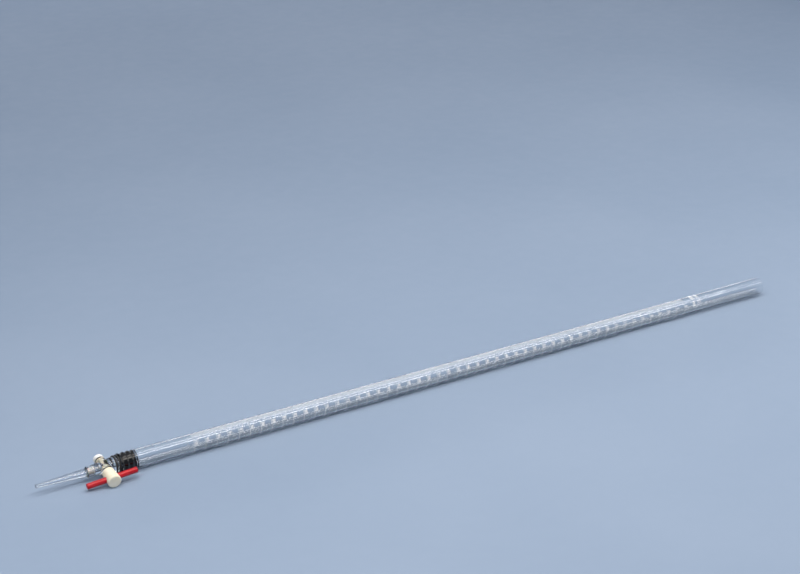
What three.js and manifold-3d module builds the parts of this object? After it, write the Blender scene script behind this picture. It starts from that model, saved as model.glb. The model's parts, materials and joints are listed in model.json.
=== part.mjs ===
// A 100 ml laboratory burette with a demountable PTFE stopcock, lying on its side.
// Millimetres, +Z up. The graduated tube runs along +X, from the jet tip to the open mouth.
// The burette rests on the ribs of its coupling, on the tube and on the head of its plug,
// so the plug's axis dips a few degrees below level on the -Y side.
import * as THREE from "three";
import { mergeVertices } from "three/addons/utils/BufferGeometryUtils.js";
import Module from "manifold-3d";

const wasm = await Module();
wasm.setup();

// ---- driving dimensions -------------------------------------------------------------------
const GAP = 0.3; // running and assembly gap between neighbours
const SIDES = 40; // facets round a large turned piece
const SMALL_SIDES = 28; // facets round a small turned piece
const CHAMFER = 0.4; // on the edges of small turned pieces
const CUT_PAST = 1; // how far a cutter runs past the face it opens

// Tube: 50 numbered intervals of 2 ml each fix the length of the scale from the bore.
const TUBE_R = 8.95;
const TUBE_WALL = 1.45;
const BORE_R = TUBE_R - TUBE_WALL;
const INTERVAL_ML = 2;
const INTERVALS = 50;
const INTERVAL = (INTERVAL_ML * 1000) / (Math.PI * BORE_R * BORE_R);
const LAST_MARK_X = 84.5; // lowest graduation, from the stopcock's centre
const HEADROOM = 106.8; // plain tube above the zero mark
const MOUTH_X = LAST_MARK_X + INTERVALS * INTERVAL + HEADROOM;
const RIM_ROUND = 0.35;
const SHOULDER_ROUND = 1.2;
const FLOOR_ROUND = 1.8;

// Coupling between the tube and the stopcock.
const SLEEVE_START_X = 14;
const SLEEVE_END_X = 27.8;
const RIB_X = 18.9; // crest of one rib; the others follow at the pitch
const RIB_PITCH = 4.8;
const RIB_DEPTH = 0.9;
const RIB_CREST_R = TUBE_R + 0.35;
const SPIGOT_R = 5.6;
const SPIGOT_BORE_R = 1.9;
const JOINT_X = 20.9; // where the two spigots meet inside the sleeve
const GASKET = 1.2;
const SEAL_WIRE_R = 0.55;
const SEAL_AT = 2.9; // from each end of the sleeve to the middle of its seal
const SEAL_PLAY = 0.05;

// Stopcock: distances along the plug's axis are positive towards the handle.
const BARREL_HANDLE_END = 7.6;
const BARREL_NUT_END = -8;
const PLUG_BIG_R = 4.8;
const TAPER = 0.06; // radius lost for each millimetre of length
const BARREL_WALL = 1.1;
const BARREL_LIP = 0.25;
const BARREL_LIP_WIDTH = 1.6;
const NECK_R = 7.6;
const NECK_WAIST_R = 6.4;
const NECK_FULL_X = 7.4; // where the neck reaches its full radius
const NECK_RINGS_X = [9.4, 12.3];
const NECK_WIRE_R = 0.85;
const NECK_GROOVE = 0.7;
const CHANNEL_R = 1.5;

// Plug, handle and retaining stack.
const HEAD_R = 6.4;
const HEAD_START = BARREL_HANDLE_END + 0.5;
const HEAD_NECK_R = 5.6;
const HEAD_WAIST_R = 5.95;
const HEAD_END = 24;
const HEAD_ROUND = 1.4;
const HANDLE_AT = 17.4;
const HANDLE_R = 2.7;
const HANDLE_LENGTH = 48.4;
const HANDLE_ROUND = 1.1;
const HANDLE_TURN = (4.5 * Math.PI) / 180; // the jet end of the handle dips by this much
const STUB_R = 2.6;
const STUB_END = -14.1;
const WASHER = 0.8;
const RING_WIRE_R = 0.75;
const RING_SLACK = 0.4;
const NUT_R = 4.8;
const NUT_LENGTH = 4.6;
const NUT_CROWN_R = 2.6;
const NUT_DOME = 1.6;
const NUT_GROOVES = 12;
const NUT_GROOVE_R = 0.45;
const NUT_GROOVE_OUT = 0.15; // groove centres lie this far outside the nut

// Outlet socket and jet tip.
const SOCKET_END_X = -17.2;
const SOCKET_R = 4.6;
const SOCKET_BEAD_R = 5.2;
const SOCKET_BEAD_ROUND = 0.6;
const SOCKET_BEAD_WIDTH = 2.4;
const SOCKET_FLARE_X = -7;
const SOCKET_FLARE_R = 5.7;
const SOCKET_ROOT_R = 6.1;
const SOCKET_BORE_R = 3.3;
const SOCKET_FLOOR_X = -10;
const TIP_END_X = -64.8;
const TIP_R = 3.7;
const TIP_END_R = 1.6;
const TIP_DRAW = [[14, 2.2], [30, 3]]; // distance from the end and radius, down the drawn taper
const TIP_SHANK = 5;
const TIP_BORE_TAPER = 20; // length over which the bore narrows to half
const TIP_STEM_R = 2.2;
const TIP_BORE_R = 0.9;
const BUSH_WALL = 0.7;
const BUSH_CLEARANCE = 0.1;

// The roll about the tube's axis that sets the plug's head on the surface.
const headReach = Math.hypot(HEAD_END - HEAD_ROUND, HEAD_R);
const ROLL = Math.asin(RIB_CREST_R / headReach) - Math.atan2(HEAD_R, HEAD_END - HEAD_ROUND);

// ---- helpers ------------------------------------------------------------------------------

// A solid of revolution about local Y. The profile is a list of [along, radius].
function turned(profile, sides = SIDES) {
  const points = profile.map(([along, radius]) => new THREE.Vector2(radius, along));
  return new THREE.LatheGeometry(points, sides);
}

// A profile closed on itself, for a ring or a tube, taken in the sense that faces outwards.
function turnedRing(profile, sides = SIDES) {
  const twiceArea = profile.reduce((sum, [along, radius], i) => {
    const [nextAlong, nextRadius] = profile[(i + 1) % profile.length];
    return sum + along * nextRadius - nextAlong * radius;
  }, 0);
  const ordered = twiceArea > 0 ? [...profile].reverse() : profile;
  return turned([...ordered, ordered[0]], sides);
}

// Points of a circular arc in a profile: centre [along, radius], from one angle to another.
function arc(along, radius, r, from, to, steps) {
  return Array.from({ length: steps + 1 }, (_, i) => {
    const angle = from + ((to - from) * i) / steps;
    return [along + r * Math.sin(angle), radius + r * Math.cos(angle)];
  });
}

// A solid O-ring: a wire of the given radius bent round local Y.
function sealRing(along, ringR, wireR, sides = SMALL_SIDES) {
  return turnedRing(arc(along, ringR, wireR, Math.PI, -Math.PI, 10).slice(0, -1), sides);
}

// manifold-3d solid of a closed geometry, moved by a matrix.
function solidOf(geometry, matrix = new THREE.Matrix4()) {
  const bare = geometry.clone().applyMatrix4(matrix);
  bare.deleteAttribute("normal");
  bare.deleteAttribute("uv");
  const merged = mergeVertices(bare, 1e-4);
  return new wasm.Manifold(
    new wasm.Mesh({
      numProp: 3,
      vertProperties: merged.attributes.position.array,
      triVerts: new Uint32Array(merged.index.array),
    }),
  );
}

// A geometry that three.js can draw, from a manifold-3d solid.
function geometryOf(solid) {
  const made = solid.getMesh();
  const position = new Float32Array(made.numVert * 3);
  for (let i = 0; i < made.numVert; i += 1) {
    for (let k = 0; k < 3; k += 1) {
      position[i * 3 + k] = made.vertProperties[i * made.numProp + k];
    }
  }
  const geometry = new THREE.BufferGeometry();
  geometry.setAttribute("position", new THREE.BufferAttribute(position, 3));
  geometry.setIndex(new THREE.BufferAttribute(new Uint32Array(made.triVerts), 1));
  geometry.computeVertexNormals();
  return geometry;
}

function piece(name, geometry, material) {
  const mesh = new THREE.Mesh(geometry, material);
  mesh.name = name;
  return mesh;
}

const alongX = new THREE.Matrix4().makeRotationZ(-Math.PI / 2); // local Y to +X

// ---- materials ----------------------------------------------------------------------------
const material = (color, roughness, more = {}) =>
  new THREE.MeshStandardMaterial({ color, roughness, metalness: 0, ...more });
const glass = material(0xdfe8ee, 0.04, { transparent: true, opacity: 0.35 });
const blackPlastic = material(0x0b0b0c, 0.22);
const rubber = material(0x1a1a1a, 0.75);
const ptfe = material(0xf1e6cf, 0.42);
const whitePlastic = material(0xf6f4ec, 0.38);
const redPlastic = material(0xc51f2b, 0.35);
const softBush = material(0xe8e6de, 0.5);

// ---- tube and coupling, turned about the tube's axis ----------------------------------------

function tube() {
  const shoulderX = SLEEVE_END_X + GAP;
  const floorX = shoulderX + TUBE_WALL;
  return turnedRing([
    [JOINT_X + GASKET / 2 + GAP, SPIGOT_BORE_R],
    [floorX, SPIGOT_BORE_R],
    ...arc(floorX + FLOOR_ROUND, BORE_R - FLOOR_ROUND, FLOOR_ROUND, -Math.PI / 2, 0, 4),
    [MOUTH_X - RIM_ROUND, BORE_R],
    [MOUTH_X, BORE_R + RIM_ROUND],
    [MOUTH_X, TUBE_R - RIM_ROUND],
    [MOUTH_X - RIM_ROUND, TUBE_R],
    ...arc(shoulderX + SHOULDER_ROUND, TUBE_R - SHOULDER_ROUND, SHOULDER_ROUND, 0, -Math.PI / 2, 4),
    [shoulderX, SPIGOT_R],
    [JOINT_X + GASKET / 2 + GAP, SPIGOT_R],
  ]);
}

// Black sleeve with rounded ribs outside and a seat for one seal at each end of its bore.
function couplingSleeve() {
  const steps = 24;
  const outside = Array.from({ length: steps + 1 }, (_, i) => {
    const along = SLEEVE_END_X + ((SLEEVE_START_X - SLEEVE_END_X) * i) / steps;
    const wave = (1 + Math.cos((2 * Math.PI * (along - RIB_X)) / RIB_PITCH)) / 2;
    return [along, RIB_CREST_R - RIB_DEPTH * (1 - wave)];
  });
  const boreR = SPIGOT_R + GAP;
  const seatR = SPIGOT_R + 2 * (SEAL_WIRE_R + SEAL_PLAY);
  const half = SEAL_WIRE_R + GAP;
  const seat = (x) => [
    [x - half, boreR],
    [x - half, seatR],
    [x + half, seatR],
    [x + half, boreR],
  ];
  return turnedRing([
    [SLEEVE_START_X, boreR],
    ...seat(SLEEVE_START_X + SEAL_AT),
    ...seat(SLEEVE_END_X - SEAL_AT),
    [SLEEVE_END_X, boreR],
    ...outside,
  ]);
}

function couplingSeal(x) {
  return sealRing(x, SPIGOT_R + SEAL_PLAY + SEAL_WIRE_R, SEAL_WIRE_R);
}

// Black ring that sits in a shallow groove round the clear neck.
function neckRing(x) {
  return sealRing(x, NECK_R - NECK_GROOVE + SEAL_PLAY + NECK_WIRE_R, NECK_WIRE_R);
}

function couplingGasket() {
  const half = GASKET / 2;
  return turnedRing(
    [
      [JOINT_X - half, SPIGOT_BORE_R + GAP],
      [JOINT_X + half, SPIGOT_BORE_R + GAP],
      [JOINT_X + half, SPIGOT_R],
      [JOINT_X - half, SPIGOT_R],
    ],
    SMALL_SIDES,
  );
}

// ---- stopcock body --------------------------------------------------------------------------

const plugR = (w) => PLUG_BIG_R - TAPER * (BARREL_HANDLE_END - w);

// Glass body: spigot, neck, cross barrel and outlet socket, fused into one piece.
function stopcockBody(toPlugAxis) {
  const grooveHalf = NECK_WIRE_R + 2 * SEAL_PLAY;
  const inlet = turned([
    [0, 0],
    [0, NECK_WAIST_R],
    [NECK_FULL_X, NECK_R],
    ...NECK_RINGS_X.flatMap((x) => [
      [x - grooveHalf, NECK_R],
      [x - grooveHalf, NECK_R - NECK_GROOVE],
      [x + grooveHalf, NECK_R - NECK_GROOVE],
      [x + grooveHalf, NECK_R],
    ]),
    [SLEEVE_START_X - GAP, NECK_R],
    [SLEEVE_START_X - GAP, SPIGOT_R],
    [JOINT_X - GASKET / 2 - GAP, SPIGOT_R],
    [JOINT_X - GASKET / 2 - GAP, 0],
  ]);
  const beadR = SOCKET_BEAD_R - SOCKET_BEAD_ROUND;
  const outlet = turned([
    [SOCKET_END_X, 0],
    ...arc(SOCKET_END_X + SOCKET_BEAD_ROUND, beadR, SOCKET_BEAD_ROUND, -Math.PI / 2, Math.PI / 2, 6),
    [SOCKET_END_X + SOCKET_BEAD_WIDTH, SOCKET_R],
    [SOCKET_FLARE_X, SOCKET_FLARE_R],
    [0, SOCKET_ROOT_R],
    [0, 0],
  ]);
  const nutEndR = plugR(BARREL_NUT_END) + BARREL_WALL;
  const handleEndR = plugR(BARREL_HANDLE_END) + BARREL_WALL;
  const barrel = turned([
    [BARREL_NUT_END, 0],
    [BARREL_NUT_END, nutEndR + BARREL_LIP - CHAMFER],
    [BARREL_NUT_END + CHAMFER, nutEndR + BARREL_LIP],
    [BARREL_NUT_END + BARREL_LIP_WIDTH, nutEndR],
    [BARREL_HANDLE_END - BARREL_LIP_WIDTH, handleEndR],
    [BARREL_HANDLE_END - CHAMFER, handleEndR + BARREL_LIP],
    [BARREL_HANDLE_END, handleEndR + BARREL_LIP - CHAMFER],
    [BARREL_HANDLE_END, 0],
  ]);
  const bore = turned([
    [BARREL_NUT_END - CUT_PAST, 0],
    [BARREL_NUT_END - CUT_PAST, plugR(BARREL_NUT_END - CUT_PAST) + GAP],
    [BARREL_HANDLE_END + CUT_PAST, plugR(BARREL_HANDLE_END + CUT_PAST) + GAP],
    [BARREL_HANDLE_END + CUT_PAST, 0],
  ]);
  const inletChannel = turned([
    [0, 0],
    [0, CHANNEL_R],
    [NECK_RINGS_X[0], CHANNEL_R],
    [NECK_RINGS_X[1], SPIGOT_BORE_R],
    [JOINT_X, SPIGOT_BORE_R],
    [JOINT_X, 0],
  ], SMALL_SIDES);
  const outletChannel = turned([
    [SOCKET_END_X - CUT_PAST, 0],
    [SOCKET_END_X - CUT_PAST, SOCKET_BORE_R],
    [SOCKET_FLOOR_X, SOCKET_BORE_R],
    [SOCKET_FLOOR_X, CHANNEL_R],
    [0, CHANNEL_R],
    [0, 0],
  ], SMALL_SIDES);
  return geometryOf(
    solidOf(inlet, alongX)
      .add(solidOf(outlet, alongX))
      .add(solidOf(barrel, toPlugAxis))
      .subtract(solidOf(bore, toPlugAxis))
      .subtract(solidOf(inletChannel, alongX))
      .subtract(solidOf(outletChannel, alongX)),
  );
}

// ---- pieces turned about the plug's axis, in its own frame (local Y towards the handle) -----

// PTFE plug: tapered barrel with a flow channel, a head for the handle and a stub for the nut.
function plug() {
  const body = turned([
    [STUB_END, 0],
    [STUB_END, STUB_R - CHAMFER],
    [STUB_END + CHAMFER, STUB_R],
    [BARREL_NUT_END, STUB_R],
    [BARREL_NUT_END, plugR(BARREL_NUT_END)],
    [BARREL_HANDLE_END, PLUG_BIG_R],
    [HEAD_START, HEAD_NECK_R],
    [HANDLE_AT - HANDLE_R, HEAD_WAIST_R],
    [HEAD_END - HEAD_ROUND, HEAD_R],
    ...arc(HEAD_END - HEAD_ROUND, HEAD_R - HEAD_ROUND, HEAD_ROUND, 0, Math.PI / 2, 4).slice(1),
    [HEAD_END, 0],
  ]);
  const channel = new THREE.CylinderGeometry(CHANNEL_R, CHANNEL_R, 4 * PLUG_BIG_R, SMALL_SIDES);
  const hole = new THREE.CylinderGeometry(HANDLE_R + GAP, HANDLE_R + GAP, 4 * HEAD_R, SMALL_SIDES);
  const across = new THREE.Matrix4().makeRotationZ(Math.PI / 2);
  const atHandle = new THREE.Matrix4().makeTranslation(0, HANDLE_AT, 0).multiply(across);
  return geometryOf(solidOf(body).subtract(solidOf(channel, across)).subtract(solidOf(hole, atHandle)));
}

// Red handle bar with rounded ends, lying across the head.
function handleBar() {
  const half = HANDLE_LENGTH / 2;
  return turned(
    [
      [-half, 0],
      ...arc(-half + HANDLE_ROUND, HANDLE_R - HANDLE_ROUND, HANDLE_ROUND, -Math.PI / 2, 0, 4),
      ...arc(half - HANDLE_ROUND, HANDLE_R - HANDLE_ROUND, HANDLE_ROUND, 0, Math.PI / 2, 4),
      [half, 0],
    ],
    SMALL_SIDES,
  );
}

const WASHER_AT = BARREL_NUT_END - GAP;
const RING_AT = WASHER_AT - WASHER - GAP - RING_WIRE_R;
const NUT_START = RING_AT - RING_WIRE_R - GAP;

function slipWasher() {
  return turnedRing(
    [
      [WASHER_AT - WASHER, STUB_R + GAP],
      [WASHER_AT, STUB_R + GAP],
      [WASHER_AT, NUT_R],
      [WASHER_AT - WASHER, NUT_R],
    ],
    SMALL_SIDES,
  );
}

function tensionRing() {
  return sealRing(RING_AT, STUB_R + GAP + RING_SLACK + RING_WIRE_R, RING_WIRE_R);
}

// Domed cap nut with grip grooves and a blind hole for the stub.
function retainingNut() {
  const end = NUT_START - NUT_LENGTH;
  const cap = turned(
    [
      [end, 0],
      [end, NUT_CROWN_R],
      ...arc(end + NUT_DOME, NUT_R - NUT_DOME, NUT_DOME, -Math.PI / 2, 0, 5).slice(1),
      [NUT_START - CHAMFER, NUT_R],
      [NUT_START, NUT_R - CHAMFER],
      [NUT_START, 0],
    ],
    SMALL_SIDES,
  );
  const hole = turned(
    [
      [STUB_END - GAP, 0],
      [STUB_END - GAP, STUB_R + GAP],
      [NUT_START + CUT_PAST, STUB_R + GAP],
      [NUT_START + CUT_PAST, 0],
    ],
    SMALL_SIDES,
  );
  let nut = solidOf(cap).subtract(solidOf(hole));
  for (let i = 0; i < NUT_GROOVES; i += 1) {
    const angle = (2 * Math.PI * i) / NUT_GROOVES;
    const groove = new THREE.CylinderGeometry(NUT_GROOVE_R, NUT_GROOVE_R, NUT_LENGTH, 8);
    const at = new THREE.Matrix4().makeTranslation(
      (NUT_R + NUT_GROOVE_OUT) * Math.cos(angle),
      NUT_START - NUT_LENGTH / 2 + NUT_DOME,
      (NUT_R + NUT_GROOVE_OUT) * Math.sin(angle),
    );
    nut = nut.subtract(solidOf(groove, at));
  }
  return geometryOf(nut);
}

// ---- jet tip, turned about the tube's axis ----------------------------------------------------

// Drawn glass jet with a fine bore. Its stem sits in the soft bush inside the outlet socket.
function jetTip() {
  const stemEnd = SOCKET_FLOOR_X - GAP;
  const collar = SOCKET_END_X - GAP;
  return turnedRing(
    [
      [TIP_END_X, TIP_BORE_R / 2],
      [TIP_END_X, TIP_END_R - CHAMFER],
      [TIP_END_X + CHAMFER, TIP_END_R],
      ...TIP_DRAW.map(([fromEnd, radius]) => [TIP_END_X + fromEnd, radius]),
      [collar - TIP_SHANK, TIP_R],
      [collar - CHAMFER, TIP_R],
      [collar, TIP_R - CHAMFER],
      [collar, TIP_STEM_R],
      [stemEnd, TIP_STEM_R],
      [stemEnd, TIP_BORE_R],
      [TIP_END_X + TIP_BORE_TAPER, TIP_BORE_R],
    ],
    SMALL_SIDES,
  );
}

function tipBush() {
  const inner = TIP_STEM_R + BUSH_CLEARANCE;
  return turnedRing(
    [
      [SOCKET_END_X + GAP, inner],
      [SOCKET_FLOOR_X - GAP, inner],
      [SOCKET_FLOOR_X - GAP, inner + BUSH_WALL],
      [SOCKET_END_X + GAP, inner + BUSH_WALL],
    ],
    SMALL_SIDES,
  );
}

// ---- assembly ---------------------------------------------------------------------------------

// Pieces whose local Y is turned onto the tube's axis.
const tubeLine = new THREE.Group();
tubeLine.rotation.z = -Math.PI / 2;

// The plug's axis: local Y points at the handle, towards -Y and a little down.
const plugLine = new THREE.Group();
plugLine.rotation.x = Math.PI + ROLL;

// What turns with the plug: the plug, its handle and the retaining stack.
const turningLine = new THREE.Group();
turningLine.rotation.y = HANDLE_TURN;
plugLine.add(turningLine);

plugLine.updateMatrixWorld(true);

const handle = piece("handle_bar", handleBar(), redPlastic);
handle.rotation.z = Math.PI / 2;
handle.position.y = HANDLE_AT;

tubeLine.add(
  piece("tube", tube(), glass),
  piece("coupling_sleeve", couplingSleeve(), blackPlastic),
  piece("tube_seal_ring", couplingSeal(SLEEVE_END_X - SEAL_AT), rubber),
  piece("body_seal_ring", couplingSeal(SLEEVE_START_X + SEAL_AT), rubber),
  piece("neck_ring_lower", neckRing(NECK_RINGS_X[0]), rubber),
  piece("neck_ring_upper", neckRing(NECK_RINGS_X[1]), rubber),
  piece("coupling_gasket", couplingGasket(), softBush),
  piece("jet_tip", jetTip(), glass),
  piece("tip_bush", tipBush(), softBush),
);
turningLine.add(
  piece("plug", plug(), ptfe),
  handle,
  piece("slip_washer", slipWasher(), ptfe),
  piece("tension_ring", tensionRing(), rubber),
  piece("retaining_nut", retainingNut(), whitePlastic),
);

const burette = new THREE.Group();
burette.add(tubeLine, plugLine, piece("stopcock_body", stopcockBody(plugLine.matrixWorld), glass));

// Put the origin under the middle of the whole burette, on the surface that it lies on.
const extent = new THREE.Box3().setFromObject(burette, true);
const middle = extent.getCenter(new THREE.Vector3());
burette.position.set(-middle.x, -middle.y, -extent.min.z);

export default burette;
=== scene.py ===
"""Looks of a 100 ml glass burette with a PTFE stopcock, lying on a pale floor.

Lengths in the piece sections are in millimetres, measured along the piece's own line: the tube's
line starts at the stopcock's centre and runs to the mouth, and the plug's line starts there too
and runs to the handle.
"""

import json
import math

import bmesh
import bpy
from mathutils import Matrix, Vector


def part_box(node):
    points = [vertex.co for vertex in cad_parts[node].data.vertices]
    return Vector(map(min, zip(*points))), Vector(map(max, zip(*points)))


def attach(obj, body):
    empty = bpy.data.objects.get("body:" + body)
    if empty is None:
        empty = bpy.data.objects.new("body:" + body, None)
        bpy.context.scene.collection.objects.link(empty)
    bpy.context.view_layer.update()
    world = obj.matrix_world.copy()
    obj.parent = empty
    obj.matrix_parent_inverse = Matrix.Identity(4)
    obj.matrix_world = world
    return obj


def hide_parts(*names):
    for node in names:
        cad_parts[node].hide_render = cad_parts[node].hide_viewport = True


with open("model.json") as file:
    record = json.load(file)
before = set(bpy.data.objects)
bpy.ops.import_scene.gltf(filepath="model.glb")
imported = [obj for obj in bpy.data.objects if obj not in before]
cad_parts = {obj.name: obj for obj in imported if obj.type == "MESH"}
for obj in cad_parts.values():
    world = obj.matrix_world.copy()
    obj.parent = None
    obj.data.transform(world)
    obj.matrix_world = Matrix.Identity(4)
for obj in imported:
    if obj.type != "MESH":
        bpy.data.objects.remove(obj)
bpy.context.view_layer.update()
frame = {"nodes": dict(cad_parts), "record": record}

MM = 0.001

# ---- driving dimensions, in mm ----------------------------------------------------------------
GAP = 0.3
EDGE = 0.4
CUT_PAST = 1.0
AXIS = 0.01  # the radius that closes a turned end
FINE = 128  # sides of a turned piece
SMALL = 72  # sides of a slim one or of a bore
COARSE = 24  # sides of a groove's cutter
CORNER_STEPS = 8
SMALL_CORNER_STEPS = 4
RIM_STEPS = 12
WIRE_STEPS = 24
RIB_STEPS = 92
TUBE_PARTS = 5  # lengths that the long wall is divided into
SHARP_ANGLE = 35  # edges over this many degrees stay crisp

TUBE_WALL = 1.45
SHOULDER_ROUND = 1.2
FLOOR_ROUND = 1.8
SPIGOT_R = 5.6
SPIGOT_BORE_R = 1.9
JOINT_AT = 20.9
GASKET = 1.2
RIB_AT = 18.9
RIB_PITCH = 4.8
RIB_DEPTH = 0.9

NECK_R = 7.6
NECK_WAIST_R = 6.4
NECK_FULL_AT = 7.4
NECK_GROOVE = 0.7
NECK_WIRE_R = 0.85
WELD_GRID = 0.25  # cell that blends the worked glass where its parts meet
WELD_SOFTEN = 0.5
WELD_PASSES = 12
WELD_SHARP_ANGLE = 50
CHANNEL_R = 1.5
CHANNEL_FLARE = (9.4, 12.3)
BARREL_HANDLE_END = 7.6
BARREL_NUT_END = -8.0
BARREL_WALL = 1.1
BARREL_LIP = 0.25
BARREL_LIP_WIDTH = 1.6
SOCKET_END = -17.2
SOCKET_R = 4.6
SOCKET_BEAD_R = 5.2
SOCKET_BEAD_ROUND = 0.6
SOCKET_BEAD_WIDTH = 2.4
SOCKET_FLARE_AT = -7.0
SOCKET_FLARE_R = 5.7
SOCKET_ROOT_R = 6.1
SOCKET_BORE_R = 3.3
SOCKET_FLOOR = -10.0

PLUG_BIG_R = 4.8
PLUG_TAPER = 0.06
# HEAD_R, HEAD_END and NUT_LENGTH are 0.03 under the CAD's, to keep the smooth rounds in its box.
HEAD_START = 8.1
HEAD_NECK_R = 5.6
HEAD_WAIST_R = 5.95
HEAD_R = 6.37
HEAD_END = 23.97
HEAD_ROUND = 1.4
HANDLE_AT = 17.4
HANDLE_R = 2.7
HANDLE_LENGTH = 48.4
HANDLE_ROUND = 1.1
HANDLE_TURN = 4.5
HANDLE_HOLE_GAP = 0.05
STUB_R = 2.6
STUB_END = -14.1
WASHER = 0.8
WASHER_ROUND = 0.2
RING_WIRE_R = 0.75
RING_SLACK = 0.4
NUT_R = 4.8
NUT_LENGTH = 4.57
NUT_CROWN_R = 2.6
NUT_DOME = 1.6
NUT_GROOVES = 12
NUT_GROOVE_R = 0.45
NUT_GROOVE_OUT = 0.15
BORE_REACH = 19.2  # half the length of a cutter that crosses the head or the plug

TIP_R = 3.7
TIP_END_R = 1.6
TIP_DRAW = ((30, 3.0), (14, 2.2))
TIP_SHANK = 5.0
TIP_STEM_R = 2.2
TIP_BORE_R = 0.9
TIP_BORE_TAPER = 20

# ---- printed scale, in mm and in degrees up from the handle side's horizontal ---------------------
INTERVAL_ML = 2
INTERVALS = 50
DIVISIONS = 10
LAST_MARK = 84.5
LINE = 0.3
PRINT_LIFT = 0.03
SCALE_FACE = 78
RING_HALF = 172
MIDDLE_HALF = 28
MINOR_HALF = 15
NUMBER_FACE = 27
NUMBER_HEIGHT = 2.9
NUMBER_RISE = 0.75  # from a ring to its number's middle, as a share of the number's height
LETTER_WEIGHT = 0.03  # stroke added all round, as a share of the height
CAPITAL_SHARE = 0.7  # a capital's height as a share of the font's size
LETTER_CURVE_STEPS = 3
MARK_STEP = 3  # degrees of a printed line for each of its faces
MARK_LEAST_STEPS = 6
LEGEND = (("100 ml", 13.0, 4.0), ("20 °C", 19.5, 3.4))  # words, rise over zero, height
LEGEND_FACE = 62

# ---- camera, in metres from the stopcock's centre and in degrees ----------------------------------
CAMERA_FROM_CENTRE = (-0.5252, -1.3904, 0.8489)
CAMERA_AZIMUTH = -30.91
CAMERA_ELEVATION = 24.67
CAMERA_LENS = 84.94
SENSOR_WIDTH = 36
CLIP = (0.01, 50)

# ---- studio, in metres and watts ------------------------------------------------------------------
FLOOR_SIZE = 6
SKY_COLOUR = (0.66, 0.76, 1.0, 1)
SKY_STRENGTH = 0.22
SOFTBOXES = (  # name, place, aim, size, power and colour
    ("overhead", (0.0, -0.55, 1.15), (0, 0, 0), (3.0, 0.2), 16, (1.0, 0.94, 0.87)),
    ("above", (0.0, 0.05, 1.3), (0, 0, 0), (3.0, 0.2), 12, (1.0, 0.95, 0.90)),
    ("behind", (0.3, 2.0, 0.35), (0, 0, 0.05), (3.2, 0.12), 5, (0.92, 0.96, 1.0)),
    ("right", (1.5, -0.3, 0.45), (0.35, 0, 0), (0.9, 0.5), 3, (1.0, 0.97, 0.93)),
    ("fill", (0.0, 0.5, 4.0), (0, 0, 0), (7.0, 7.0), 60, (0.96, 0.98, 1.0)),
)

# ---- finish, shared by the materials --------------------------------------------------------------
GLASS_IOR = 1.474
NOISE_RANGE = (0.3, 0.7)  # where nearly all of the noise falls
TONE_RANGE = (0.35, 0.65)


# ---- placing ------------------------------------------------------------------------------------
def joint(name):
    """The record's entry for a joint."""
    return next(j for j in frame["record"]["behaviour"]["joints"] if j["name"] == name)


def line_matrix(origin, along, side):
    """Local +Z runs along the line, local +X to its side, and a local unit is a millimetre."""
    z = Vector(along).normalized()
    x = (Vector(side) - z * z.dot(Vector(side))).normalized()
    y = z.cross(x)
    turn = Matrix((x, y, z)).transposed().to_4x4()
    return Matrix.Translation(origin) @ turn @ Matrix.Scale(MM, 4)


CENTRE = Vector(joint("plug_turn")["pos_m"])
PLUG_AXIS = Vector(joint("plug_turn")["axis"])
TUBE_LINE = line_matrix(CENTRE, (1, 0, 0), (0, 0, 1))
handle_side = Matrix.Rotation(math.radians(HANDLE_TURN), 3, PLUG_AXIS) @ Vector((1, 0, 0))
PLUG_LINE = line_matrix(CENTRE, PLUG_AXIS, handle_side)
TO_SIDE = Matrix.Rotation(math.pi / 2, 4, "Y")
HANDLE_LINE = PLUG_LINE @ Matrix.Translation((0, 0, HANDLE_AT)) @ TO_SIDE
NECK_RINGS = ("neck_ring_lower", "neck_ring_upper")


def span(node):
    """A node's start and end along the tube's line, and its outside radius there."""
    low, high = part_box(node)
    return (low.x - CENTRE.x) / MM, (high.x - CENTRE.x) / MM, (high.z - low.z) / 2 / MM


# ---- mesh helpers -------------------------------------------------------------------------------
def arc(along, radius, r, start, end, steps=CORNER_STEPS):
    """Points of a rounded corner in a profile, with angles in degrees from the radial direction."""
    points = []
    for i in range(steps + 1):
        a = math.radians(start + (end - start) * i / steps)
        points.append((along + r * math.sin(a), radius + r * math.cos(a)))
    return points


def lathe(profile, line, sides=FINE, ring=True):
    """A bmesh turned about the line. A ring's profile closes on itself, any other's ends are filled."""
    bm = bmesh.new()
    loops = []
    for along, radius in profile:
        loop = []
        for i in range(sides):
            a = 2 * math.pi * i / sides
            at = Vector((radius * math.cos(a), radius * math.sin(a), along))
            loop.append(bm.verts.new(line @ at))
        loops.append(loop)
    pairs = list(zip(loops, loops[1:]))
    if ring:
        pairs.append((loops[-1], loops[0]))
    else:
        bm.faces.new(loops[0])
        bm.faces.new(loops[-1])
    for a, b in pairs:
        for i in range(sides):
            j = (i + 1) % sides
            bm.faces.new((a[i], a[j], b[j], b[i]))
    bmesh.ops.recalc_face_normals(bm, faces=bm.faces)
    return bm


def append(whole, part):
    """Adds one bmesh to another and frees the part."""
    piece = bpy.data.meshes.new("part")
    part.to_mesh(piece)
    part.free()
    whole.from_mesh(piece)
    bpy.data.meshes.remove(piece)


def shade(mesh, sharp_angle=SHARP_ANGLE):
    """Smooth shading that keeps the sharp edges crisp."""
    mesh.shade_smooth()
    mesh.set_sharp_from_angle(angle=math.radians(sharp_angle))


def made(name, bm, material):
    """A new object from a bmesh."""
    mesh = bpy.data.meshes.new(name)
    bm.to_mesh(mesh)
    bm.free()
    shade(mesh)
    mesh.materials.append(material)
    obj = bpy.data.objects.new(name, mesh)
    bpy.context.scene.collection.objects.link(obj)
    return obj


def place(obj, body, slot_name, *nodes):
    """The piece rides on a body and hides the CAD nodes it stands for; slot_name is not used."""
    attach(obj, body)
    if nodes:
        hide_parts(*nodes)


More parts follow.
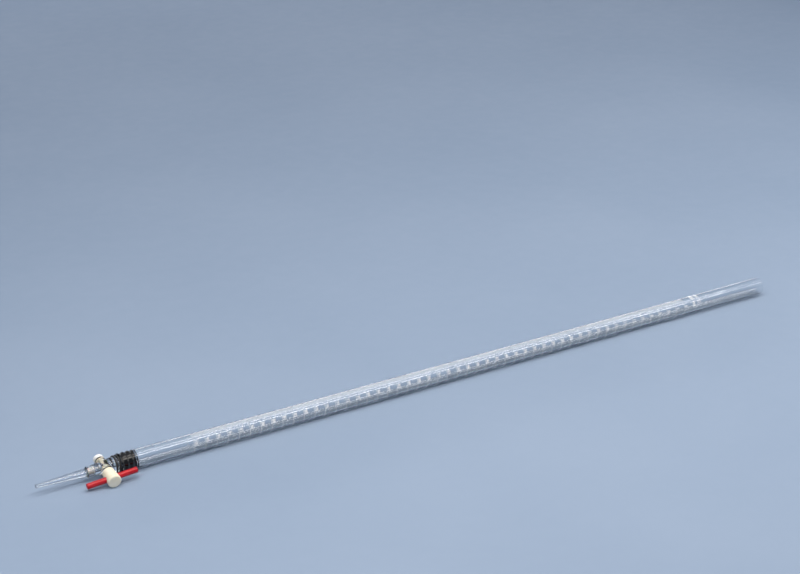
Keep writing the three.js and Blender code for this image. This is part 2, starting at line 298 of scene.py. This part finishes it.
def apply_modifiers(obj):
    """Bakes the modifiers into the object's own mesh."""
    graph = bpy.context.evaluated_depsgraph_get()
    baked = bpy.data.meshes.new_from_object(obj.evaluated_get(graph))
    obj.modifiers.clear()
    old = obj.data
    obj.data = baked
    bpy.data.meshes.remove(old)


def combine(obj, other, operation):
    """Applies a boolean of two objects to the first and removes the second."""
    step = obj.modifiers.new(operation, "BOOLEAN")
    step.operation = operation
    step.solver = "EXACT"
    step.object = other
    apply_modifiers(obj)
    bpy.data.objects.remove(other)


# ---- materials ----------------------------------------------------------------------------------
class Nodes:
    """Short calls for building one Principled material."""

    def __init__(self, name):
        self.material = bpy.data.materials.new(name)
        self.material.use_nodes = True
        self.tree = self.material.node_tree
        self.shader = self.tree.nodes["Principled BSDF"]

    def add(self, kind, **inputs):
        """A node of that kind with the given socket values."""
        node = self.tree.nodes.new(kind)
        for key, value in inputs.items():
            node.inputs[key].default_value = value
        return node

    def link(self, out, into):
        """Joins an output to an input."""
        self.tree.links.new(out, into)

    def set(self, **values):
        """Values straight on the shader's sockets, with underscores for spaces."""
        for key, value in values.items():
            self.shader.inputs[key.replace("_", " ")].default_value = value

    def pattern(self, scale, detail=4.0, stretch=(1, 1, 1)):
        """Noise in object space. Stretch below 1 draws the pattern out along that axis."""
        place_at = self.add("ShaderNodeTexCoord")
        mapping = self.add("ShaderNodeMapping", Scale=stretch)
        texture = self.add("ShaderNodeTexNoise", Scale=scale, Detail=detail)
        self.link(place_at.outputs["Object"], mapping.inputs["Vector"])
        self.link(mapping.outputs["Vector"], texture.inputs["Vector"])
        return texture.outputs["Fac"]

    def spread(self, value, low, high):
        """The pattern's middle range mapped onto low..high."""
        node = self.add("ShaderNodeMapRange")
        node.inputs["From Min"].default_value = NOISE_RANGE[0]
        node.inputs["From Max"].default_value = NOISE_RANGE[1]
        node.inputs["To Min"].default_value = low
        node.inputs["To Max"].default_value = high
        self.link(value, node.inputs["Value"])
        return node.outputs["Result"]

    def colours(self, value, low, high):
        """Base colour between two tones, following a pattern."""
        ramp = self.add("ShaderNodeValToRGB")
        ramp.color_ramp.elements[0].position = TONE_RANGE[0]
        ramp.color_ramp.elements[0].color = (*low, 1)
        ramp.color_ramp.elements[1].position = TONE_RANGE[1]
        ramp.color_ramp.elements[1].color = (*high, 1)
        self.link(value, ramp.inputs["Fac"])
        self.link(ramp.outputs["Color"], self.shader.inputs["Base Color"])

    def rough(self, value, low, high):
        """Roughness between two values, following a pattern."""
        self.link(self.spread(value, low, high), self.shader.inputs["Roughness"])

    def bump(self, value, strength, distance):
        """Fine relief that follows a pattern, with its depth in metres."""
        node = self.add("ShaderNodeBump", Strength=strength, Distance=distance)
        self.link(value, node.inputs["Height"])
        self.link(node.outputs["Normal"], self.shader.inputs["Normal"])


def clear_glass():
    """Borosilicate tube: faint draw lines along its length and the odd smear."""
    m = Nodes("clear_glass")
    m.set(Transmission_Weight=1.0, IOR=GLASS_IOR)
    m.colours(m.pattern(6.0), (0.965, 0.98, 0.99), (0.982, 0.992, 0.997))
    m.rough(m.pattern(35.0, 5.0, (0.3, 1, 1)), 0.0, 0.035)
    m.bump(m.pattern(260.0, 2.0, (0.01, 1, 1)), 0.02, 0.0001)
    return m.material


def worked_glass():
    """Flame-worked glass of the stopcock, slightly uneven where its parts were joined."""
    m = Nodes("worked_glass")
    m.set(Transmission_Weight=1.0, IOR=GLASS_IOR)
    m.colours(m.pattern(40.0), (0.94, 0.965, 0.975), (0.97, 0.985, 0.99))
    m.rough(m.pattern(120.0), 0.0, 0.05)
    m.bump(m.pattern(180.0, 2.0), 0.12, 0.0004)
    return m.material


def enamel():
    """White enamel fired onto the glass."""
    m = Nodes("white_enamel")
    m.set(IOR=1.5)
    m.colours(m.pattern(900.0), (0.90, 0.91, 0.90), (0.98, 0.98, 0.97))
    m.rough(m.pattern(1400.0), 0.3, 0.5)
    m.bump(m.pattern(2500.0), 0.15, 0.00003)
    return m.material


def black_moulding():
    """Glossy black plastic with a trace of moulding texture and dust."""
    m = Nodes("black_moulding")
    m.set(IOR=1.5)
    m.colours(m.pattern(700.0, 6.0), (0.003, 0.003, 0.003), (0.008, 0.008, 0.008))
    m.rough(m.pattern(500.0, 6.0), 0.09, 0.17)
    m.bump(m.pattern(1500.0), 0.08, 0.00005)
    return m.material


def black_rubber():
    """Dull black rubber of the rings and seals."""
    m = Nodes("black_rubber")
    m.set(IOR=1.5)
    m.colours(m.pattern(1200.0, 6.0), (0.012, 0.012, 0.012), (0.03, 0.03, 0.03))
    m.rough(m.pattern(900.0), 0.4, 0.62)
    m.bump(m.pattern(3000.0), 0.2, 0.00004)
    return m.material


def cream_ptfe():
    """Turned PTFE: waxy, slightly translucent, with fine tool lines and darker handling."""
    m = Nodes("cream_ptfe")
    m.set(IOR=1.38, Subsurface_Weight=0.25, Subsurface_Scale=0.0015)
    m.shader.inputs["Subsurface Radius"].default_value = (1.0, 0.8, 0.55)
    m.colours(m.pattern(160.0, 6.0), (0.93, 0.84, 0.63), (0.95, 0.88, 0.71))
    m.rough(m.pattern(420.0, 5.0), 0.36, 0.52)
    m.bump(m.pattern(2200.0, 3.0, (1, 0.15, 1)), 0.12, 0.00005)
    return m.material


def white_plastic():
    """Slightly translucent white moulding."""
    m = Nodes("white_plastic")
    m.set(IOR=1.48, Subsurface_Weight=0.15, Subsurface_Scale=0.001)
    m.colours(m.pattern(300.0), (0.92, 0.91, 0.87), (0.96, 0.955, 0.93))
    m.rough(m.pattern(600.0), 0.3, 0.46)
    m.bump(m.pattern(1800.0), 0.08, 0.00005)
    return m.material


def red_plastic():
    """Red moulding with a fine grain and duller patches where it is held."""
    m = Nodes("red_plastic")
    m.set(IOR=1.5)
    m.colours(m.pattern(220.0, 6.0), (0.44, 0.002, 0.007), (0.56, 0.006, 0.013))
    m.rough(m.pattern(260.0, 6.0), 0.26, 0.46)
    m.bump(m.pattern(1600.0, 4.0), 0.15, 0.00006)
    return m.material


def soft_seal():
    """Off-white soft plastic of the gasket and the bush."""
    m = Nodes("soft_seal")
    m.set(IOR=1.42, Subsurface_Weight=0.2, Subsurface_Scale=0.001)
    m.colours(m.pattern(500.0), (0.74, 0.73, 0.68), (0.82, 0.81, 0.77))
    m.rough(m.pattern(700.0), 0.4, 0.55)
    return m.material


def floor_finish():
    """Plain pale blue-grey surface."""
    m = Nodes("pale_floor")
    m.colours(m.pattern(3.0), (0.26, 0.34, 0.46), (0.28, 0.36, 0.48))
    m.rough(m.pattern(50.0), 0.55, 0.65)
    return m.material


GLASS = clear_glass()
WORKED_GLASS = worked_glass()
ENAMEL = enamel()
BLACK = black_moulding()
RUBBER = black_rubber()
PTFE = cream_ptfe()
WHITE = white_plastic()
RED = red_plastic()
SOFT = soft_seal()

# ---- the graduated tube -------------------------------------------------------------------------
TUBE_START, MOUTH, TUBE_R = span("tube")
BORE_R = TUBE_R - TUBE_WALL
INTERVAL = INTERVAL_ML * 1000 / (math.pi * BORE_R**2)
SLEEVE_START, SLEEVE_END, RIB_CREST_R = span("coupling_sleeve")


def tube():
    """Drawn glass tube with a fire-polished mouth and a shouldered spigot at its lower end."""
    shoulder = SLEEVE_END + GAP
    floor = shoulder + TUBE_WALL
    lip = TUBE_WALL / 2
    profile = [(TUBE_START, SPIGOT_BORE_R), (floor, SPIGOT_BORE_R)]
    profile += arc(floor + FLOOR_ROUND, BORE_R - FLOOR_ROUND, FLOOR_ROUND, -90, 0)
    along = [floor + (MOUTH - floor) * i / TUBE_PARTS for i in range(1, TUBE_PARTS)]
    profile += [(x, BORE_R) for x in along]
    profile += arc(MOUTH - lip, BORE_R + lip, lip, 180, 0, RIM_STEPS)
    profile += [(x, TUBE_R) for x in reversed(along)]
    profile += arc(shoulder + SHOULDER_ROUND, TUBE_R - SHOULDER_ROUND, SHOULDER_ROUND, 0, -90)
    profile += [(shoulder, SPIGOT_R), (TUBE_START, SPIGOT_R)]
    place(made("glass_tube", lathe(profile, TUBE_LINE), GLASS), "tube", "glass", "tube")


# ---- the printed scale --------------------------------------------------------------------------
def on_tube(x, face, radius=TUBE_R + PRINT_LIFT):
    """A point on the tube's outside, x along the line and face degrees up from the handle side."""
    a = math.radians(face)
    return CENTRE + Vector((x, -radius * math.cos(a), radius * math.sin(a))) * MM


def mark(bm, x, half):
    """One printed line: a thin band round part of the tube."""
    steps = max(MARK_LEAST_STEPS, int(half / MARK_STEP))
    rows = []
    for i in range(steps + 1):
        face = SCALE_FACE - half + 2 * half * i / steps
        rows.append([bm.verts.new(on_tube(x + s * LINE / 2, face)) for s in (-1, 1)])
    for a, b in zip(rows, rows[1:]):
        bm.faces.new((a[0], b[0], b[1], a[1]))


def graduations():
    """Full rings at the numbers, with middle and short lines between them."""
    bm = bmesh.new()
    for i in range(INTERVALS * DIVISIONS + 1):
        half = MINOR_HALF
        if i % (DIVISIONS // 2) == 0:
            half = MIDDLE_HALF
        if i % DIVISIONS == 0:
            half = RING_HALF
        mark(bm, LAST_MARK + i * INTERVAL / DIVISIONS, half)
    place(made("graduations", bm, ENAMEL), "tube", "glass")


def print_text(name, words, x, face, height):
    """A bmesh of lettering wrapped round the tube, upright when the mouth is at the top."""
    curve = bpy.data.curves.new(name, "FONT")
    curve.body = words
    curve.size = height / CAPITAL_SHARE
    curve.align_x = "CENTER"
    curve.align_y = "CENTER"
    curve.resolution_u = LETTER_CURVE_STEPS
    curve.offset = LETTER_WEIGHT * height
    source = bpy.data.objects.new(name, curve)
    mesh = bpy.data.meshes.new_from_object(source)
    bm = bmesh.new()
    bm.from_mesh(mesh)
    bpy.data.objects.remove(source)
    bpy.data.curves.remove(curve)
    bpy.data.meshes.remove(mesh)
    for v in bm.verts:
        v.co = on_tube(x + v.co.y, face - math.degrees(v.co.x / TUBE_R))
    return bm


def numbers():
    """A number beside every ring, from zero near the mouth to the full volume at the bottom."""
    whole = bmesh.new()
    for i in range(INTERVALS + 1):
        x = LAST_MARK + i * INTERVAL + NUMBER_HEIGHT * NUMBER_RISE
        value = (INTERVALS - i) * INTERVAL_ML
        append(whole, print_text("number", str(value), x, NUMBER_FACE, NUMBER_HEIGHT))
    place(made("numbers", whole, ENAMEL), "tube", "glass")


def legend():
    """Generic capacity and temperature lettering above the zero mark."""
    top = LAST_MARK + INTERVALS * INTERVAL
    whole = bmesh.new()
    for words, up, height in LEGEND:
        append(whole, print_text("legend", words, top + up, LEGEND_FACE, height))
    place(made("legend", whole, ENAMEL), "tube", "glass")


# ---- coupling -----------------------------------------------------------------------------------
def o_ring(along, inner_r, wire_r):
    """Profile of a round-wire ring."""
    return arc(along, inner_r + wire_r, wire_r, 180, -180, WIRE_STEPS)[:-1]


def coupling():
    """Ribbed black sleeve, and the two rubber rings on the neck below it."""
    bore_r = SPIGOT_R + GAP
    profile = [(SLEEVE_END, bore_r), (SLEEVE_START, bore_r)]
    for i in range(RIB_STEPS + 1):
        x = SLEEVE_START + (SLEEVE_END - SLEEVE_START) * i / RIB_STEPS
        wave = (1 + math.cos(2 * math.pi * (x - RIB_AT) / RIB_PITCH)) / 2
        profile.append((x, RIB_CREST_R - RIB_DEPTH * (1 - wave)))
    sleeve = made("ribbed_sleeve", lathe(profile, TUBE_LINE), BLACK)
    place(sleeve, "stopcock", "sleeve", "coupling_sleeve")
    for node in NECK_RINGS:
        start, end, outer = span(node)
        profile = o_ring((start + end) / 2, outer - 2 * NECK_WIRE_R, NECK_WIRE_R)
        ring = made(f"{node}_fine", lathe(profile, TUBE_LINE), RUBBER)
        place(ring, "stopcock", "black_rubber", node)


# ---- stopcock body ------------------------------------------------------------------------------
def plug_r(along):
    """Radius of the tapered plug at a place on its line."""
    return PLUG_BIG_R - PLUG_TAPER * (BARREL_HANDLE_END - along)


def stopcock_body():
    """Neck, barrel and socket blended into one glass body, then bored."""
    neck_start = SLEEVE_START - GAP
    spigot_end = JOINT_AT - GASKET / 2 - GAP
    neck = [(0, AXIS), (0, NECK_WAIST_R), (NECK_FULL_AT, NECK_R), (neck_start, NECK_R)]
    neck += [(neck_start, SPIGOT_R), (spigot_end, SPIGOT_R), (spigot_end, AXIS)]
    socket = [(SOCKET_END, AXIS)]
    bead_r = SOCKET_BEAD_R - SOCKET_BEAD_ROUND
    socket += arc(SOCKET_END + SOCKET_BEAD_ROUND, bead_r, SOCKET_BEAD_ROUND, -90, 90)
    socket += [(SOCKET_END + SOCKET_BEAD_WIDTH, SOCKET_R), (SOCKET_FLARE_AT, SOCKET_FLARE_R)]
    socket += [(0, SOCKET_ROOT_R), (0, AXIS)]
    nut_end_r = plug_r(BARREL_NUT_END) + BARREL_WALL
    handle_end_r = plug_r(BARREL_HANDLE_END) + BARREL_WALL
    barrel = [(BARREL_NUT_END, AXIS)]
    barrel += arc(BARREL_NUT_END + EDGE, nut_end_r + BARREL_LIP - EDGE, EDGE, -90, 0)
    barrel += [(BARREL_NUT_END + BARREL_LIP_WIDTH, nut_end_r)]
    barrel += [(BARREL_HANDLE_END - BARREL_LIP_WIDTH, handle_end_r)]
    barrel += arc(BARREL_HANDLE_END - EDGE, handle_end_r + BARREL_LIP - EDGE, EDGE, 0, 90)
    barrel += [(BARREL_HANDLE_END, AXIS)]
    body = made("stopcock_glass", lathe(neck, TUBE_LINE, ring=False), WORKED_GLASS)
    combine(body, made("socket", lathe(socket, TUBE_LINE, ring=False), WORKED_GLASS), "UNION")
    combine(body, made("barrel", lathe(barrel, PLUG_LINE, ring=False), WORKED_GLASS), "UNION")
    grid = body.modifiers.new("grid", "REMESH")
    grid.mode = "VOXEL"
    grid.voxel_size = WELD_GRID * MM
    soften = body.modifiers.new("soften", "SMOOTH")
    soften.factor = WELD_SOFTEN
    soften.iterations = WELD_PASSES
    apply_modifiers(body)
    low, high = BARREL_NUT_END - CUT_PAST, BARREL_HANDLE_END + CUT_PAST
    barrel_bore = [(low, plug_r(low) + GAP), (high, plug_r(high) + GAP)]
    inlet = [(0, CHANNEL_R), (CHANNEL_FLARE[0], CHANNEL_R)]
    inlet += [(CHANNEL_FLARE[1], SPIGOT_BORE_R), (JOINT_AT, SPIGOT_BORE_R)]
    outlet = [(SOCKET_END - CUT_PAST, SOCKET_BORE_R), (SOCKET_FLOOR, SOCKET_BORE_R)]
    outlet += [(SOCKET_FLOOR, CHANNEL_R), (0, CHANNEL_R)]
    for profile, line in ((barrel_bore, PLUG_LINE), (inlet, TUBE_LINE), (outlet, TUBE_LINE)):
        combine(body, made("bore", lathe(profile, line, SMALL, ring=False), WORKED_GLASS), "DIFFERENCE")
    for node in NECK_RINGS:
        start, end, _ = span(node)
        groove = [(start, NECK_R + CUT_PAST), (start, NECK_R - NECK_GROOVE)]
        groove += [(end, NECK_R - NECK_GROOVE), (end, NECK_R + CUT_PAST)]
        combine(body, made("groove", lathe(groove, TUBE_LINE, SMALL), WORKED_GLASS), "DIFFERENCE")
    shade(body.data, WELD_SHARP_ANGLE)
    place(body, "stopcock", "glass", "stopcock_body")


# ---- plug, handle and nut -----------------------------------------------------------------------
def plug():
    """PTFE plug with a waisted head, rounded at its end, and a flow channel."""
    profile = [(STUB_END, AXIS)] + arc(STUB_END + EDGE, STUB_R - EDGE, EDGE, -90, 0)
    profile += [(BARREL_NUT_END, STUB_R), (BARREL_NUT_END, plug_r(BARREL_NUT_END))]
    profile += [(BARREL_HANDLE_END, PLUG_BIG_R), (HEAD_START, HEAD_NECK_R)]
    profile += [(HANDLE_AT - HANDLE_R, HEAD_WAIST_R)]
    profile += arc(HEAD_END - HEAD_ROUND, HEAD_R - HEAD_ROUND, HEAD_ROUND, 0, 90)
    profile += [(HEAD_END, AXIS)]
    body = made("ptfe_plug", lathe(profile, PLUG_LINE, ring=False), PTFE)
    across = PLUG_LINE @ TO_SIDE
    channel = lathe([(-BORE_REACH, CHANNEL_R), (BORE_REACH, CHANNEL_R)], across, SMALL, ring=False)
    combine(body, made("channel", channel, PTFE), "DIFFERENCE")
    hole_r = HANDLE_R + HANDLE_HOLE_GAP
    hole = lathe([(-BORE_REACH, hole_r), (BORE_REACH, hole_r)], HANDLE_LINE, SMALL, ring=False)
    combine(body, made("hole", hole, PTFE), "DIFFERENCE")
    shade(body.data)
    place(body, "plug", "ptfe", "plug")


def handle():
    """Red bar pushed through the head, with softly rounded ends."""
    half, round_r = HANDLE_LENGTH / 2, HANDLE_ROUND
    profile = [(-half, AXIS)]
    profile += arc(-half + round_r, HANDLE_R - round_r, round_r, -90, 0)
    profile += arc(half - round_r, HANDLE_R - round_r, round_r, 0, 90)
    profile += [(half, AXIS)]
    bar = made("handle_bar_fine", lathe(profile, HANDLE_LINE, SMALL, ring=False), RED)
    place(bar, "plug", "red_plastic", "handle_bar")


def retaining_stack():
    """Washer, tension ring and grooved cap nut on the plug's small end."""
    washer_at = BARREL_NUT_END - GAP
    ring_at = washer_at - WASHER - GAP - RING_WIRE_R
    nut_start = ring_at - RING_WIRE_R - GAP
    nut_end = nut_start - NUT_LENGTH
    edge, inside = WASHER_ROUND, NUT_R - WASHER_ROUND
    washer = [(washer_at - WASHER, STUB_R + GAP), (washer_at, STUB_R + GAP)]
    washer += arc(washer_at - edge, inside, edge, 90, 0, SMALL_CORNER_STEPS)
    washer += arc(washer_at - WASHER + edge, inside, edge, 0, -90, SMALL_CORNER_STEPS)
    place(made("slip_washer_fine", lathe(washer, PLUG_LINE), PTFE), "plug", "ptfe", "slip_washer")
    ring = o_ring(ring_at, STUB_R + GAP + RING_SLACK, RING_WIRE_R)
    ring_piece = made("tension_ring_fine", lathe(ring, PLUG_LINE), RUBBER)
    place(ring_piece, "tension_ring", "black_rubber", "tension_ring")
    cap = [(nut_end, AXIS), (nut_end, NUT_CROWN_R)]
    cap += arc(nut_end + NUT_DOME, NUT_R - NUT_DOME, NUT_DOME, -90, 0)[1:]
    cap += arc(nut_start - EDGE, NUT_R - EDGE, EDGE, 0, 90)
    cap += [(nut_start, STUB_R + GAP), (STUB_END - GAP, STUB_R + GAP), (STUB_END - GAP, AXIS)]
    nut = made("cap_nut", lathe(cap, PLUG_LINE, ring=False), WHITE)
    grooves = bmesh.new()
    middle = nut_start - NUT_LENGTH / 2 + NUT_DOME
    for i in range(NUT_GROOVES):
        turn = Matrix.Rotation(2 * math.pi * i / NUT_GROOVES, 4, "Z")
        at = PLUG_LINE @ turn @ Matrix.Translation((NUT_R + NUT_GROOVE_OUT, 0, middle))
        ends = [(-NUT_LENGTH / 2, NUT_GROOVE_R), (NUT_LENGTH / 2, NUT_GROOVE_R)]
        append(grooves, lathe(ends, at, COARSE, ring=False))
    combine(nut, made("grooves", grooves, WHITE), "DIFFERENCE")
    shade(nut.data)
    place(nut, "nut", "white_plastic", "retaining_nut")


# ---- jet ----------------------------------------------------------------------------------------
def jet():
    """Drawn glass jet, ground off at its tip, with a bore that narrows towards it."""
    tip_end, stem_end, _ = span("jet_tip")
    collar = SOCKET_END - GAP
    profile = [(stem_end, TIP_BORE_R), (stem_end, TIP_STEM_R), (collar, TIP_STEM_R)]
    profile += arc(collar - EDGE, TIP_R - EDGE, EDGE, 90, 0)
    profile += [(collar - TIP_SHANK, TIP_R)]
    profile += [(tip_end + from_end, radius) for from_end, radius in TIP_DRAW]
    profile += arc(tip_end + EDGE, TIP_END_R - EDGE, EDGE, 0, -90)
    profile += [(tip_end, TIP_BORE_R / 2), (tip_end + TIP_BORE_TAPER, TIP_BORE_R)]
    place(made("glass_jet", lathe(profile, TUBE_LINE, SMALL), GLASS), "tip", "glass", "jet_tip")


def inner_pieces():
    """The seals, gasket and bush keep their CAD shape and get their real finish."""
    for node, material in (
        ("tube_seal_ring", RUBBER),
        ("body_seal_ring", RUBBER),
        ("coupling_gasket", SOFT),
        ("tip_bush", SOFT),
    ):
        mesh = frame["nodes"][node].data
        mesh.materials.clear()
        mesh.materials.append(material)


# ---- scene --------------------------------------------------------------------------------------
def floor():
    """A plain surface for the burette to lie on."""
    bm = bmesh.new()
    bmesh.ops.create_grid(bm, x_segments=1, y_segments=1, size=FLOOR_SIZE)
    obj = made("floor", bm, floor_finish())


def softbox(name, at, aim, size, power, colour):
    """A rectangular light turned towards its aim."""
    lamp = bpy.data.lights.new(name, "AREA")
    lamp.shape = "RECTANGLE"
    lamp.size, lamp.size_y = size
    lamp.energy = power
    lamp.color = colour
    obj = bpy.data.objects.new(name, lamp)
    obj.location = at
    obj.rotation_euler = (Vector(aim) - Vector(at)).to_track_quat("-Z", "Y").to_euler()
    bpy.context.scene.collection.objects.link(obj)


def studio():
    """Dim even surroundings with long softboxes, whose reflections draw the glass."""
    world = bpy.data.worlds.new("studio")
    world.use_nodes = True
    background = world.node_tree.nodes["Background"]
    background.inputs["Color"].default_value = SKY_COLOUR
    background.inputs["Strength"].default_value = SKY_STRENGTH
    bpy.context.scene.world = world
    bpy.context.scene.view_settings.view_transform = "Standard"
    for light in SOFTBOXES:
        softbox(*light)


def camera():
    """A long-lens view from above the handle side, looking along towards the mouth."""
    data = bpy.data.cameras.new("camera")
    data.lens = CAMERA_LENS
    data.sensor_width = SENSOR_WIDTH
    data.clip_start, data.clip_end = CLIP
    obj = bpy.data.objects.new("camera", data)
    obj.location = CENTRE + Vector(CAMERA_FROM_CENTRE)
    a, e = math.radians(CAMERA_AZIMUTH), math.radians(CAMERA_ELEVATION)
    back = Vector((math.sin(a) * math.cos(e), -math.cos(a) * math.cos(e), math.sin(e)))
    obj.rotation_euler = (-back).to_track_quat("-Z", "Y").to_euler()
    bpy.context.scene.collection.objects.link(obj)
    bpy.context.scene.camera = obj


camera()
studio()
floor()
tube()
graduations()
numbers()
legend()
coupling()
stopcock_body()
plug()
handle()
retaining_stack()
jet()
inner_pieces()
